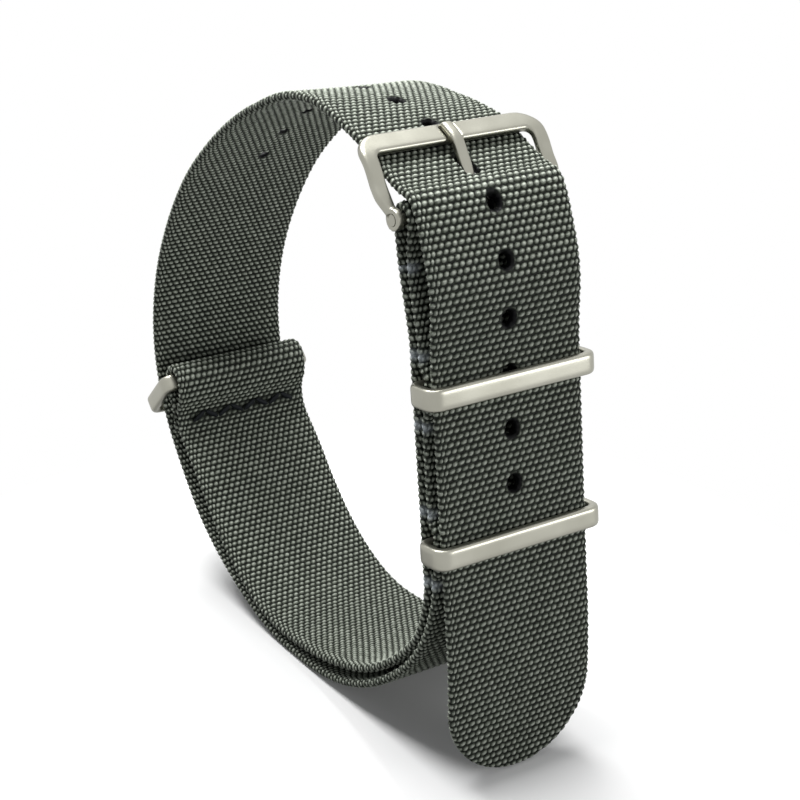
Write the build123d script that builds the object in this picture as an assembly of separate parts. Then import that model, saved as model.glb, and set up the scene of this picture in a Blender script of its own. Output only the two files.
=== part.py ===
"""A pull-through watch strap, buckled up and standing as it would round a wrist.

X runs across the strap, Y from the tail at the front to the back of the loop, Z up.
The strap stands on a flat stretch of its loop and on the tip of its tail.  The origin is
the middle of the whole part's footprint, on the surface that it stands on.
Lengths are millimetres and angles are degrees.
"""
from build123d import *
import copy
import os
from math import atan2, cos, hypot, radians, sin, tan

os.makedirs("parts", exist_ok=True)

# Webbing
strap_width = 20.0
strap_thickness = 1.2
loop_depth = 71.0
loop_height = 75.0
layer_gap = 0.1
weld_gap = 0.4
weld_width = 0.9
weld_bend_radius = 1.2
weld_flat = 0.85
shortest_run = 0.0001

# Punched holes in the long strap: the tail's from the one that holds the tongue, and the
# loop's from the middle of the buckle's bar
hole_diameter = 2.0
tail_hole_pitch = 6.38
tail_holes = 6
loop_hole_pitch = 7.1
loop_holes = 7
loop_first_hole = 3.0

# The front, measured down from the weld above the upper keeper and out from the wrist
front_lean = 6.3
pin_above_front = 15.0
pin_towards_wrist = 0.2
first_weld_above_front = 9.7
first_weld_towards_wrist = 1.3
upper_pocket = 8.0
between_pockets = 10.1
lower_pocket = 8.5
pocket_slope_length = 1.3
lowest_weld_bend_radius = 8.0
tail_above_front = 0.5
tail_shoulder_above_front = 7.5
tail_shoulder_out = 0.9

# Buckle
pin_diameter = 1.3
pin_fit = 0.05
frame_side_fit = 0.3
frame_inner_width = strap_width + 2 * frame_side_fit
frame_thickness = 1.1
bar_depth = 2.7
arm_width = 1.8
arm_taper_length = 2.6
frame_corner = 3.0
frame_window_corner = 0.8
frame_edge = 0.35
lug_diameter = 2.5
lug_width = 0.9
bar_back_from_pin = 7.02
bar_above_pin = 7.7
bar_slope = 25.0
bar_knee = 0.7
frame_bow_radius = 5.0
arm_bow_inwards = 0.35
arm_bow_share = 0.45
strap_under_bar = 0.25

# Tongue and the slots that it needs in the webbing
tongue_width = 1.4
tongue_thickness = 0.95
tongue_edge = 0.3
tongue_eye_wall = 0.55
tongue_lip_towards_pin = 1.7
tongue_lip_past_middle = 0.45
tongue_bend_radius = 4.0
tongue_seat_depth = 0.35
tongue_seat_fit = 0.02
tongue_side_fit = 0.25
tongue_hole_from_bar = 4.23
tongue_hole_towards_pin = 0.7
tongue_hole_length = 5.0
tongue_hole_width = 2.0
tongue_eye_room = 0.2

# Keepers and the ring on the short strap's end
band_height = 2.6
ring_height = 2.4
band_thickness = 1.2
band_corner = 1.7
band_edge = 0.4
band_fit = 0.1
band_side_fit = 0.3
ring_reach = 7.4
ring_hang_angle = 44.0
ring_bar_fit = 0.07
ring_fold_angle = 84.0

# Stitching of the short strap's folded end
stitch_count = 8
stitch_thickness = 0.4
stitch_proud = 0.2
stitch_row_width = 16.0
stitch_row_height = 1.3
stitch_below_ring = 5.3
stitch_to_cut_end = 2.2
stitch_flat = 1.5
stitch_bend_radius = 2.5

# Cuts run past what they cut by this much
overrun = 5.0

# The loop's centre line as shares of its depth and height, from below the last weld round
# the bottom, up the back and over the top; None stands for the surface under it
LOOP_SHARES = [
    (-0.474, 0.236), (-0.428, 0.166), (-0.364, 0.110), (-0.290, 0.062), (-0.205, 0.026),
    (-0.110, None), (0.035, None), (0.130, 0.032), (0.220, 0.070), (0.312, 0.124),
    (0.380, 0.196), (0.446, 0.282), (0.482, 0.375), (0.488, 0.450), (0.473, 0.535),
    (0.440, 0.615), (0.388, 0.698), (0.318, 0.782), (0.235, 0.850), (0.145, 0.910),
    (0.050, 0.957), (-0.045, 0.985), (-0.125, 0.991), (-0.200, 0.984),
]
# The weld above the upper keeper and the ring's inner bar, as the same shares
FRONT_SHARES = (-0.431, 0.683)
RING_SHARES = (0.411, 0.371)
# The short strap's centre line between the last weld and its ring, as the same shares
SHORT_SHARES = [
    (-0.452, 0.226), (-0.404, 0.172), (-0.342, 0.122), (-0.276, 0.084), (-0.185, 0.054),
    (-0.090, 0.036), (0.035, 0.029), (0.125, 0.053), (0.205, 0.098), (0.278, 0.162),
    (0.325, 0.215), (0.378, 0.262),
]
# The tail stands straight under this share of the depth, up to this share of the height
TAIL_TIP_SHARE = -0.544
TAIL_STRAIGHT_SHARE = 0.2
# The tail's guide points over the pin: angle, and distance as a share of its bend's radius
TAIL_OVER_PIN_SHARES = [(174, 1.16), (122, 1.18), (76, 1.13)]

half_web = strap_thickness / 2


# Flat geometry in the side view: a point is (y, z)

def unit(dy, dz):
    """The direction of a vector, with length one."""
    size = hypot(dy, dz)
    return dy / size, dz / size


def moved(point, direction, distance):
    """A point moved along a direction."""
    return point[0] + direction[0] * distance, point[1] + direction[1] * distance


def towards(start, end):
    """The direction from one point to another."""
    return unit(end[0] - start[0], end[1] - start[1])


def left_of(direction):
    """The direction a quarter turn to the left."""
    return -direction[1], direction[0]


def heading(angle):
    """The direction at an angle from +Y towards +Z."""
    return cos(radians(angle)), sin(radians(angle))


def apart(a, b):
    """The distance between two points."""
    return hypot(b[0] - a[0], b[1] - a[1])


class Route:
    """Straight runs joined by tangent arcs, as a strap lies in the side view.

    Each corner between the first and last point becomes one arc.  It takes up to half of
    the shorter run beside it, or less where the corner has a radius of its own.
    """

    def __init__(self, points, radii=None):
        radii = radii or {}
        self.pieces = []
        start = points[0]
        for index in range(1, len(points) - 1):
            before, corner, after = points[index - 1:index + 2]
            arrive, leave = towards(before, corner), towards(corner, after)
            cross = arrive[0] * leave[1] - arrive[1] * leave[0]
            turn = atan2(cross, arrive[0] * leave[0] + arrive[1] * leave[1])
            side = 1 if turn > 0 else -1
            reach = min(apart(before, corner), apart(corner, after)) / 2
            if index in radii:
                reach = min(reach, radii[index] * tan(abs(turn) / 2))
            radius = reach / tan(abs(turn) / 2)
            first, last = moved(corner, arrive, -reach), moved(corner, leave, reach)
            centre = moved(first, left_of(arrive), side * radius)
            middle = moved(centre, towards(centre, corner), radius)
            self._run(start, first)
            self.pieces.append(("arc", first, middle, last, centre, side, radius, abs(turn)))
            start = last
        self._run(start, points[-1])

    def _run(self, start, end):
        if apart(start, end) > shortest_run:
            self.pieces.append(("run", start, end))

    def lengths(self):
        """The length of each piece."""
        return [apart(p[1], p[2]) if p[0] == "run" else p[6] * p[7] for p in self.pieces]

    def at(self, distance):
        """The point and the direction of travel at a distance from the start."""
        for piece, size in zip(self.pieces, self.lengths()):
            if distance <= size or piece is self.pieces[-1]:
                break
            distance -= size
        if piece[0] == "run":
            ahead = towards(piece[1], piece[2])
            return moved(piece[1], ahead, distance), ahead
        _, first, _, _, centre, side, radius, _ = piece
        angle = atan2(first[1] - centre[1], first[0] - centre[0]) + side * distance / radius
        spoke = (cos(angle), sin(angle))
        return moved(centre, spoke, radius), (-side * spoke[1], side * spoke[0])

    def beside(self, offset):
        """The edges of the route moved to its left by an offset, in order."""
        edges = []
        for piece in self.pieces:
            if piece[0] == "run":
                side = left_of(towards(piece[1], piece[2]))
                ends = [moved(p, side, offset) for p in piece[1:3]]
                edges.append(Line(*[(0, y, z) for y, z in ends]))
            else:
                _, first, middle, last, centre, side, radius, _ = piece
                wide = radius - side * offset
                ends = [moved(centre, towards(centre, p), wide) for p in (first, middle, last)]
                edges.append(ThreePointArc(*[(0, y, z) for y, z in ends]))
        return edges


def ribbon(route, width, thickness):
    """A flat strip of constant thickness that follows a route, centred on X."""
    upper, lower = [route.beside(offset) for offset in (thickness / 2, -thickness / 2)]
    caps = [Line(upper[0] @ 0, lower[0] @ 0), Line(upper[-1] @ 1, lower[-1] @ 1)]
    face = make_face(Wire([*upper, *lower, *caps]))
    return extrude(face, amount=width / 2, dir=(1, 0, 0), both=True)


def facing(centre, out):
    """A plane through a side-view point, with X across the strap and Z along a direction."""
    return Plane(origin=(0, *centre), x_dir=(1, 0, 0), z_dir=(0, *out))


def rod(centre, diameter, width, at_x=0):
    """A round rod that runs across the strap."""
    return Plane(origin=(at_x, *centre), z_dir=(1, 0, 0)) * Cylinder(diameter / 2, width)


# Places on the front and round the buckle

down_front = heading(-90 - front_lean)
out_front = heading(180 - front_lean)
front_origin = (FRONT_SHARES[0] * loop_depth, FRONT_SHARES[1] * loop_height)


def front(along, out):
    """A place on the front, from the weld above the upper keeper."""
    return moved(moved(front_origin, down_front, along), out_front, out)


def share_points(shares):
    """Points from shares of the loop's depth and height."""
    ground = half_web / loop_height
    return [(y * loop_depth, (ground if z is None else z) * loop_height) for y, z in shares]


pin_centre = front(-pin_above_front, -pin_towards_wrist)
ring_centre = share_points([RING_SHARES])[0]
fold_radius = pin_diameter / 2 + pin_fit + half_web
ring_bar_radius = hypot(ring_height / 2 - band_edge, band_thickness / 2 - band_edge) + band_edge
ring_fold_radius = ring_bar_radius + ring_bar_fit + half_web
web_to_web = strap_thickness + layer_gap
welded_spacing = strap_thickness + weld_gap
pocket_spacing = strap_thickness + band_thickness + 2 * band_fit
tail_spacing = pocket_spacing + web_to_web

welds = [-first_weld_above_front, 0, upper_pocket]
welds += [welds[-1] + between_pockets, welds[-1] + between_pockets + lower_pocket]
pockets = [(welds[1], welds[2]), (welds[3], welds[4])]

bar_ahead = heading(180 + bar_slope)
bar_out = left_of(heading(bar_slope))
bar_back_edge = moved(pin_centre, (1, 0), bar_back_from_pin)
bar_back_edge = moved(bar_back_edge, (0, 1), bar_above_pin)
bar_top = moved(bar_back_edge, bar_ahead, bar_depth / 2)
bar_middle = moved(bar_top, bar_out, -frame_thickness / 2)
under_bar = moved(bar_top, bar_out, -frame_thickness - strap_under_bar - half_web)


def hairpin(centre, ahead, radius):
    """Four corner points of a turn round a bar, for a strap that arrives along a direction."""
    left = left_of(ahead)
    corners = [(1, -1), (1, 1), (-1, 1), (-1, -1)]
    return [moved(moved(centre, left, a * radius), ahead, b * radius) for a, b in corners]


# Long strap: from the tail's tip up the front, under the bar, round the loop, up to the pin
# and back down to the first weld

def over_keepers(top, bottom):
    """Corner points of the outer layer up one pocket, pinched at the weld at each end."""
    slope = weld_flat + pocket_slope_length
    return [
        front(bottom - weld_flat, welded_spacing), front(bottom - slope, pocket_spacing),
        front(top + slope, pocket_spacing), front(top + weld_flat, welded_spacing),
    ]


def tail_route():
    """The long strap's centre line from its tip up the front to the middle of the bar."""
    over_pin = fold_radius + web_to_web
    tip = (TAIL_TIP_SHARE * loop_depth, 0)
    points = [tip, (tip[0], TAIL_STRAIGHT_SHARE * loop_height)]
    points += [front(welds[4], tail_spacing), front(-tail_above_front, tail_spacing)]
    points += [front(-tail_shoulder_above_front, tail_spacing + tail_shoulder_out)]
    points += [moved(pin_centre, heading(angle), over_pin * share)
               for angle, share in TAIL_OVER_PIN_SHARES]
    return Route(points + [moved(under_bar, bar_ahead, bar_depth), under_bar])


def loop_route():
    """The long strap's centre line from the bar round the loop to its end at the pin."""
    points = [under_bar, moved(under_bar, bar_ahead, -bar_depth)]
    points += share_points(reversed(LOOP_SHARES))
    radii = {len(points): lowest_weld_bend_radius}
    points += [front(welds[4] + 2 * weld_flat, welded_spacing)]
    for top, bottom in reversed(pockets):
        turns = over_keepers(top, bottom)
        radii.update({len(points) + k: weld_bend_radius for k in range(len(turns))})
        points += turns
    radii[len(points)] = lowest_weld_bend_radius
    points += [front(welds[1] - 2 * weld_flat, welded_spacing)]
    points += [front(welds[0], welded_spacing - first_weld_towards_wrist)]
    turns = hairpin(pin_centre, heading(90), fold_radius)
    radii.update({len(points) + k: fold_radius for k in (1, 2)})
    points += turns + [front(welds[0], -first_weld_towards_wrist)]
    return Route(points, radii)


def short_strap_route():
    """The short strap's centre line, from the first weld to its end beside the ring."""
    points = [front(welds[0] - layer_gap, -first_weld_towards_wrist)]
    points += [front(welds[1] - 2 * weld_flat, 0)]
    radii = {1: lowest_weld_bend_radius, 2: lowest_weld_bend_radius}
    points += [front(welds[4] + 2 * weld_flat, 0)]
    points += share_points(SHORT_SHARES)
    ahead = heading(ring_fold_angle)
    side = left_of(ahead)
    row = moved(moved(ring_centre, ahead, -stitch_below_ring), side, web_to_web / 2)
    under_row = moved(row, ahead, -stitch_flat)
    over_row = moved(row, ahead, stitch_flat)
    radii.update({len(points) + k: stitch_bend_radius for k in (0, 1)})
    points += [under_row, over_row]
    radii.update({len(points) + k: ring_fold_radius for k in (1, 2)})
    points += hairpin(ring_centre, ahead, ring_fold_radius)
    radii.update({len(points): stitch_bend_radius})
    points += [moved(over_row, side, -web_to_web)]
    points += [moved(moved(row, side, -web_to_web), ahead, -stitch_to_cut_end)]
    return Route(points, radii), row, ahead


tail_line = tail_route()
loop_line = loop_route()
short_line, stitch_row, stitch_ahead = short_strap_route()


# Tongue

def tongue_route():
    """The tongue's centre line from its eye to its lip on the bar."""
    rest = tongue_thickness / 2 - tongue_seat_depth
    on_bar = moved(bar_top, bar_out, rest)
    knee = moved(on_bar, bar_ahead, tongue_lip_towards_pin)
    return Route([pin_centre, knee, moved(on_bar, bar_ahead, -tongue_lip_past_middle)],
                 {1: tongue_bend_radius})


def tongue_shape(side_fit, seat_fit):
    """The tongue's shank and rounded lip, made larger at its sides and its faces."""
    line = tongue_route()
    thickness, width = tongue_thickness + 2 * seat_fit, tongue_width + 2 * side_fit
    return ribbon(line, width, thickness) + rod(line.pieces[-1][2], thickness, width)


def buckle_tongue():
    """A bent shank with soft edges and a lip, and an eye that turns on the pin."""
    eye = pin_diameter + 2 * (pin_fit + tongue_eye_wall)
    shank = tongue_shape(0, 0)
    sides = [edge for edge in shank.edges()
             if edge.length > shortest_run and edge.center().X != 0
             and apart((edge.center().Y, edge.center().Z), pin_centre) > eye]
    body = fillet(sides, tongue_edge) + rod(pin_centre, eye, tongue_width)
    return body - rod(pin_centre, pin_diameter + 2 * pin_fit, tongue_width + overrun)


# Buckle frame: a bowed plate with a window, and two lugs that hold the pin

def frame_route():
    """The middle of the frame's plate, from the bar's back edge to the pin."""
    back = moved(bar_middle, bar_ahead, -bar_depth / 2)
    knee = moved(bar_middle, bar_ahead, bar_depth / 2 + bar_knee)
    bow = moved(knee, towards(knee, pin_centre), apart(knee, pin_centre) * arm_bow_share)
    bow = moved(bow, out_front, -arm_bow_inwards)
    return Route([back, knee, bow, pin_centre], {1: frame_bow_radius, 2: frame_bow_radius})


def buckle_frame():
    """The frame: bar, two tapering arms and two lugs, with a seat for the tongue."""
    side = frame_route()
    back = side.pieces[0][1]
    ahead, reach = towards(back, pin_centre), apart(back, pin_centre)
    half, narrow = frame_inner_width / 2 + arm_width, frame_inner_width / 2 + lug_width
    taper = reach - arm_taper_length
    edge = Polyline((-half, 0), (half, 0), (half, taper), (narrow, reach),
                    (narrow, reach + lug_diameter), (-narrow, reach + lug_diameter),
                    (-narrow, reach), (-half, taper), close=True)
    outline = make_face(edge)
    outline = fillet(outline.vertices().sort_by(Axis.Y)[:4], frame_corner)
    window = RectangleRounded(frame_inner_width, 2 * reach, frame_window_corner)
    outline -= Pos(0, bar_depth + reach) * window
    plan = facing(back, left_of(ahead))
    body = ribbon(side, 2 * half, frame_thickness)
    body &= plan * extrude(outline, amount=reach, both=True)
    rims = [edge for edge in body.edges()
            if apart((edge.center().Y, edge.center().Z), pin_centre) > frame_thickness]
    body = fillet(rims, frame_edge)
    for x in (-1, 1):
        middle = x * (frame_inner_width + lug_width) / 2
        body += rod(pin_centre, lug_diameter, lug_width, middle)
    body -= tongue_shape(tongue_side_fit, tongue_seat_fit)
    return body - rod(pin_centre, pin_diameter, 2 * half)


def buckle_pin():
    """The hinge pin, flush with the outsides of the lugs."""
    return rod(pin_centre, pin_diameter, frame_inner_width + 2 * lug_width)


# Keepers and ring: closed bands with cushioned edges

def band(centre, ahead, inner_depth, height):
    """A closed band round the strap; ahead is the direction of its height."""
    inner_width = strap_width + 2 * band_side_fit
    outer = RectangleRounded(inner_width + 2 * band_thickness,
                             inner_depth + 2 * band_thickness, band_corner)
    inner = RectangleRounded(inner_width, inner_depth, band_corner - band_thickness)
    solid = extrude(outer - inner, amount=height / 2, both=True)
    solid = fillet(solid.edges().filter_by(Axis.Z, reverse=True), band_edge)
    return facing(centre, ahead) * solid


def keeper(pocket):
    """A keeper whose back bar lies mid-pocket, between the two layers of webbing."""
    inner = strap_thickness + web_to_web + 2 * band_fit
    out = half_web + band_fit + band_thickness + inner / 2
    return band(front(sum(pocket) / 2, out), down_front, inner, band_height)


def end_ring():
    """The ring whose inner bar lies in the short strap's fold."""
    hang = heading(-ring_hang_angle)
    centre = moved(ring_centre, hang, ring_reach / 2)
    return band(centre, left_of(hang), ring_reach - band_thickness, ring_height)


# Seam

def seam_thread(centre, out):
    """One thread of the zigzag seam, half sunk in the webbing."""
    step = stitch_row_width / stitch_count
    start = -stitch_row_width / 2
    path = [(start + step * k, stitch_row_height * (k % 2 - 1 / 2))
            for k in range(stitch_count + 1)]
    zigzag = trace(Polyline(*path), stitch_thickness)
    return facing(centre, out) * extrude(zigzag, amount=stitch_proud, both=True)


# Webbing

def punched(body, line, stations):
    """A body with a round hole punched through it at each distance along its line."""
    for station in stations:
        centre, ahead = line.at(station)
        body -= facing(centre, left_of(ahead)) * Cylinder(hole_diameter / 2, overrun)
    return body


def rounded_tip(body):
    """The tail with its end cut to a half circle."""
    radius = strap_width / 2
    tip, up = tail_line.at(0)
    waste = Pos(0, -radius / 2) * Box(strap_width + overrun, radius, overrun)
    waste -= Cylinder(radius, overrun)
    return body - facing(moved(tip, up, radius), left_of(up)) * waste


def long_strap():
    """The long strap with its rounded tip, its punched holes and the tongue's slots."""
    tongue_station = sum(tail_line.lengths()) - tongue_hole_from_bar
    tail = rounded_tip(ribbon(tail_line, strap_width, strap_thickness))
    tail = punched(tail, tail_line,
                   [tongue_station - tail_hole_pitch * k for k in range(1, tail_holes + 1)])
    centre, ahead = tail_line.at(tongue_station - tongue_hole_towards_pin)
    slot = extrude(SlotOverall(tongue_hole_length, tongue_hole_width, rotation=90),
                   amount=overrun / 2, both=True)
    tail -= facing(centre, left_of(ahead)) * slot
    loop = ribbon(loop_line, strap_width, strap_thickness)
    loop = punched(loop, loop_line,
                   [loop_first_hole + loop_hole_pitch * k for k in range(loop_holes)])
    room = pin_diameter + 2 * (pin_fit + tongue_eye_wall + tongue_eye_room)
    depth = fold_radius + strap_thickness
    rise = tongue_route().at(0)[1]
    gap = facing(pin_centre, rise) * Pos(0, 0, depth / 2) * Box(tongue_hole_width, room, depth)
    return tail + (loop - gap - rod(pin_centre, room, tongue_hole_width))


def short_strap(long_piece, threads):
    """The short strap with its weld ribs, shaped to the long strap and the sunk threads."""
    body = ribbon(short_line, strap_width, strap_thickness)
    for weld in welds:
        out = welded_spacing / 2
        if weld == welds[0]:
            out -= first_weld_towards_wrist
        rib = Box(strap_width, weld_width, welded_spacing)
        body += facing(front(weld, out), out_front) * rib
    for cutter in (long_piece, *threads):
        body -= cutter
    return body


def seams():
    """The needle thread on the wrist side and the bobbin thread on the flap."""
    side = left_of(stitch_ahead)
    flap = moved(stitch_row, side, -web_to_web)
    needle = seam_thread(moved(stitch_row, side, half_web), side)
    bobbin = seam_thread(moved(flap, side, -half_web), side)
    return needle, bobbin


# Assembly: every piece is made in place, then all of them move to the part's own origin

needle_thread, bobbin_thread = seams()
long_piece = long_strap()
pieces = {
    "long_strap": long_piece,
    "short_strap": short_strap(long_piece, (needle_thread, bobbin_thread)),
    "seam_needle_thread": needle_thread,
    "seam_bobbin_thread": bobbin_thread,
    "buckle_frame": buckle_frame(),
    "buckle_pin": buckle_pin(),
    "buckle_tongue": buckle_tongue(),
    "keeper_upper": keeper(pockets[0]),
    "keeper_lower": keeper(pockets[1]),
    "end_ring": end_ring(),
}

box = Compound(children=[copy.copy(p) for p in pieces.values()]).bounding_box()
to_origin = Pos(-box.center().X, -box.center().Y, -box.min.Z)
for name, piece in pieces.items():
    piece = to_origin * piece
    solids = piece.solids()
    print(name, "solids", len(solids), "volume", piece.volume)
    export_step(piece, f"parts/{name}.step")

for name, place in {"pin": pin_centre, "ring": ring_centre}.items():
    print(name, place[0] - box.center().Y, place[1] - box.min.Z)
print("size", box.size, "down the front", down_front)
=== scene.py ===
"""Looks for a pull-through watch strap, buckled up and standing on its loop.

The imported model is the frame.  This file weaves the webbing over the frame's straps, sews
the folded end, dresses the metal in satin steel, and sets the floor, light and camera.
Drawn sizes are millimetres; a mesh is made in metres.
"""

import logging
import math
from dataclasses import dataclass, field
from enum import Enum

import bmesh
import bpy
import numpy as np
from mathutils import Matrix, Vector

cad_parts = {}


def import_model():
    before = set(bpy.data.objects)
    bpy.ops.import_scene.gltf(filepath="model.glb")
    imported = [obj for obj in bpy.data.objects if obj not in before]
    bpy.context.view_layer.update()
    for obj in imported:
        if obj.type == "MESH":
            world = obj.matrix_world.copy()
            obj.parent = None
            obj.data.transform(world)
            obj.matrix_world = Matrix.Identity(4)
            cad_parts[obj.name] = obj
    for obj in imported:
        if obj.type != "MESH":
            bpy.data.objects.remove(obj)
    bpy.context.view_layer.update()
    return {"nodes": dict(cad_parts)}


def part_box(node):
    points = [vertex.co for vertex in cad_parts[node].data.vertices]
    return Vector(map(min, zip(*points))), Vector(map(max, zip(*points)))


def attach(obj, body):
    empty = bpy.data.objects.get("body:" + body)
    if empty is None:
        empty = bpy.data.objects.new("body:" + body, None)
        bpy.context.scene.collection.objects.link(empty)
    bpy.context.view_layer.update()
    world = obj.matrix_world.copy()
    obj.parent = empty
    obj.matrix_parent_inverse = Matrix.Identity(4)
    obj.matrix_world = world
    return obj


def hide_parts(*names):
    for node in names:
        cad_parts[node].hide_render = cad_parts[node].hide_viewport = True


log = logging.getLogger("strap")
MM = 0.001
Point = tuple[float, float]
Array = np.ndarray


class Body(Enum):
    """The rigid bodies that the pieces ride on."""

    WEBBING = "webbing"
    BUCKLE = "buckle"
    TONGUE = "tongue"
    UPPER_KEEPER = "upper_keeper"
    LOWER_KEEPER = "lower_keeper"
    RING = "ring"


def to_mesh(bm: bmesh.types.BMesh, name: str) -> bpy.types.Mesh:
    """Makes a mesh of a bmesh and frees it."""
    mesh = bpy.data.meshes.new(name)
    bm.to_mesh(mesh)
    bm.free()
    return mesh


def in_scene(name: str, data: bpy.types.ID) -> bpy.types.Object:
    """Puts a mesh, lamp or camera in the scene."""
    obj = bpy.data.objects.new(name, data)
    bpy.context.scene.collection.objects.link(obj)
    return obj


# Side-view geometry


def heading(angle: float) -> Point:
    """The direction at an angle in degrees from the back of the loop towards its top."""
    return math.cos(math.radians(angle)), math.sin(math.radians(angle))


def left_of(direction: Point) -> Point:
    """The direction a quarter turn to the left."""
    return -direction[1], direction[0]


def moved(point: Point, direction: Point, distance: float) -> Point:
    """A point moved along a direction."""
    return point[0] + direction[0] * distance, point[1] + direction[1] * distance


def apart(a: Point, b: Point) -> float:
    """The distance between two points."""
    return math.hypot(b[0] - a[0], b[1] - a[1])


def towards(a: Point, b: Point) -> Point:
    """The direction from one point to another."""
    size = apart(a, b)
    return (b[0] - a[0]) / size, (b[1] - a[1]) / size


def sampled(stations: Array, along: Array, pairs: Array) -> Array:
    """Pairs of numbers known at some stations, read off at others."""
    return np.stack([np.interp(stations, along, pairs[:, k]) for k in (0, 1)], 1)


@dataclass
class SidePath:
    """A strap's centre line in the side view: straight runs joined by tangent arcs.

    Args:
        points: the corner points, from the strap's start to its end.
        radii: the radius of each tight corner, by its index.
        step: how far apart the line is sampled.
    """

    points: list[Point]
    radii: dict[int, float] = field(default_factory=dict)
    step: float = 0.05

    def __post_init__(self) -> None:
        """Samples the line once."""
        places: list[Point] = [self.points[0]]
        for index in range(1, len(self.points) - 1):
            places += self._corner(index)
        places.append(self.points[-1])
        raw = np.array(places)
        gaps = np.hypot(*np.diff(raw, axis=0).T)
        raw = raw[np.r_[True, gaps > self.step * 1e-3]]
        along = np.r_[0, np.cumsum(np.hypot(*np.diff(raw, axis=0).T))]
        self.length = float(along[-1])
        count = int(self.length / self.step) + 1
        self.stations = np.linspace(0, self.length, count)
        self.places = sampled(self.stations, along, raw)
        ahead = np.gradient(self.places, self.stations, axis=0)
        ahead /= np.linalg.norm(ahead, axis=1, keepdims=True)
        self.normals = np.stack([-ahead[:, 1], ahead[:, 0]], 1)

    def _corner(self, index: int) -> list[Point]:
        """Points along the arc of one corner."""
        before, corner, after = self.points[index - 1:index + 2]
        arrive, leave = towards(before, corner), towards(corner, after)
        cross = arrive[0] * leave[1] - arrive[1] * leave[0]
        turn = math.atan2(cross, arrive[0] * leave[0] + arrive[1] * leave[1])
        side = 1 if turn > 0 else -1
        reach = min(apart(before, corner), apart(corner, after)) / 2
        if index in self.radii:
            reach = min(reach, self.radii[index] * math.tan(abs(turn) / 2))
        radius = reach / math.tan(abs(turn) / 2)
        first = moved(corner, arrive, -reach)
        centre = moved(first, left_of(arrive), side * radius)
        start = math.atan2(first[1] - centre[1], first[0] - centre[0])
        count = max(2, int(radius * abs(turn) / self.step))
        angles = [start + turn * k / count for k in range(count + 1)]
        return [(centre[0] + radius * math.cos(a), centre[1] + radius * math.sin(a))
                for a in angles]

    def at(self, stations: Array) -> tuple[Array, Array]:
        """The places and normals at distances from the start."""
        normals = sampled(stations, self.stations, self.normals)
        normals /= np.linalg.norm(normals, axis=1, keepdims=True)
        return sampled(stations, self.stations, self.places), normals

    def nearest(self, place: Point) -> float:
        """The distance from the start at which the line comes nearest to a place."""
        gaps = np.linalg.norm(self.places - np.array(place), axis=1)
        return float(self.stations[np.argmin(gaps)])


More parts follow.
